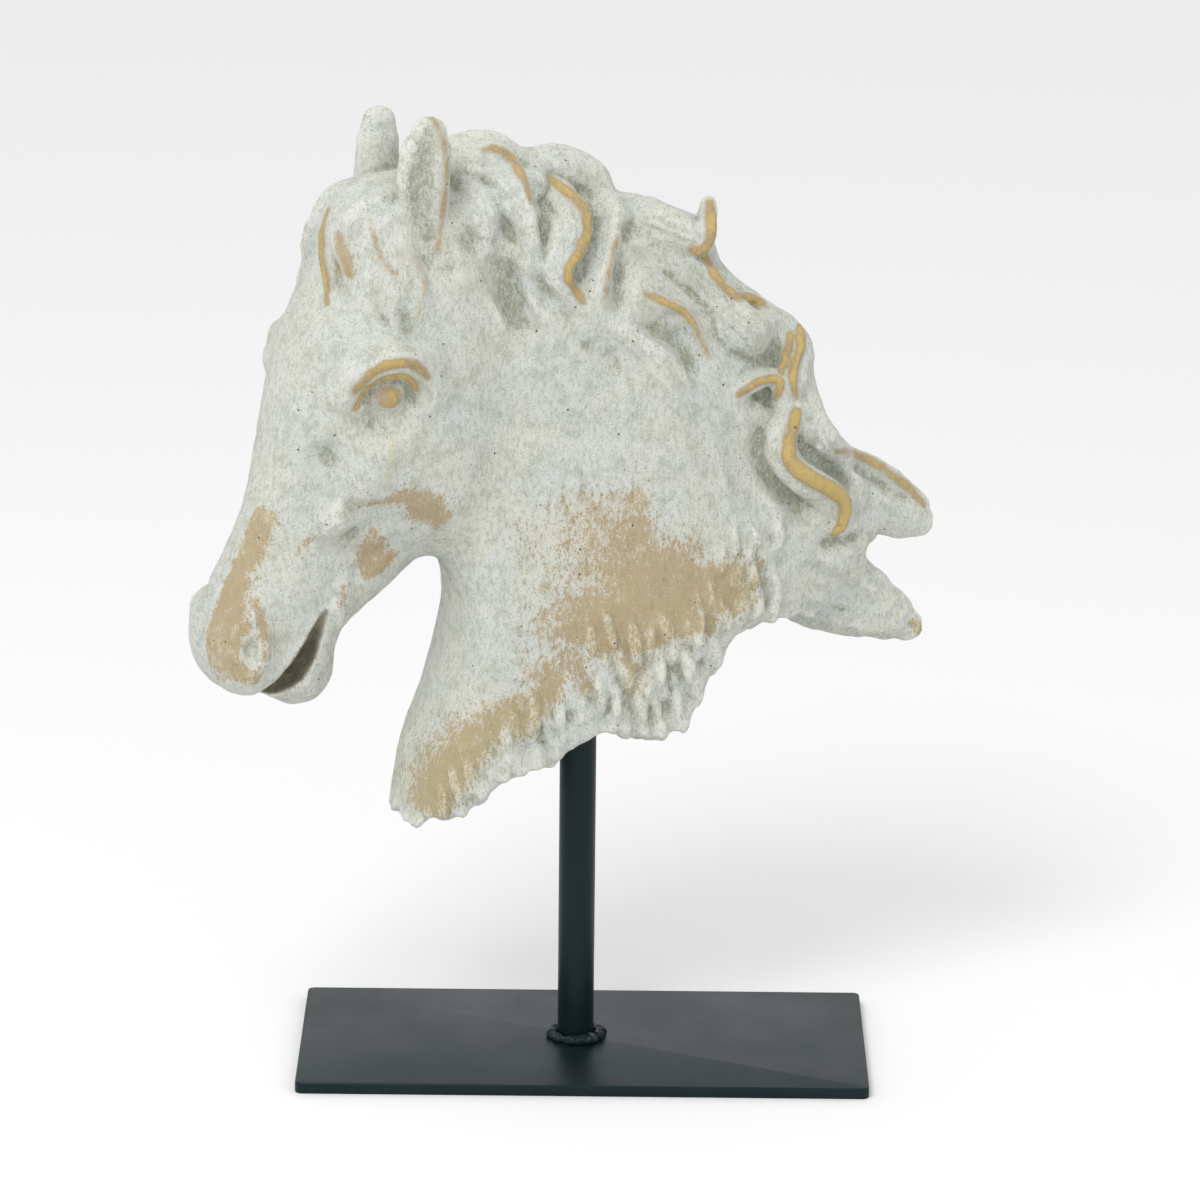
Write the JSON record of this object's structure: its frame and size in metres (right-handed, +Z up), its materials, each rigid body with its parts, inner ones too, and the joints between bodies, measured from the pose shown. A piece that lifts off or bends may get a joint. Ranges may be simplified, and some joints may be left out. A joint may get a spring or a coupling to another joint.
{
  "type": "horse head sculpture on a stand",
  "caption": "Antique-style cast horse head and neck with flowing mane, broken off below, on a round post welded to a flat steel base plate.",
  "frame": {"origin": "centre of the base plate's underside", "axes": "+Z up, +X along the plate's long side towards the mane, so the horse looks towards -X; its face is turned towards -Y, the front"},
  "size_m": [0.3211, 0.1421, 0.4299],
  "materials": {
    "plaster": "chalky off-white distressed paint with tan patches and rubbed gold on the locks' edges",
    "black_steel": "satin black powder coat"
  },
  "bodies": {
    "root": {"horse_head": "plaster", "post": "black_steel", "weld_bead": "black_steel", "base_plate": "black_steel"}
  },
  "joints": []
}
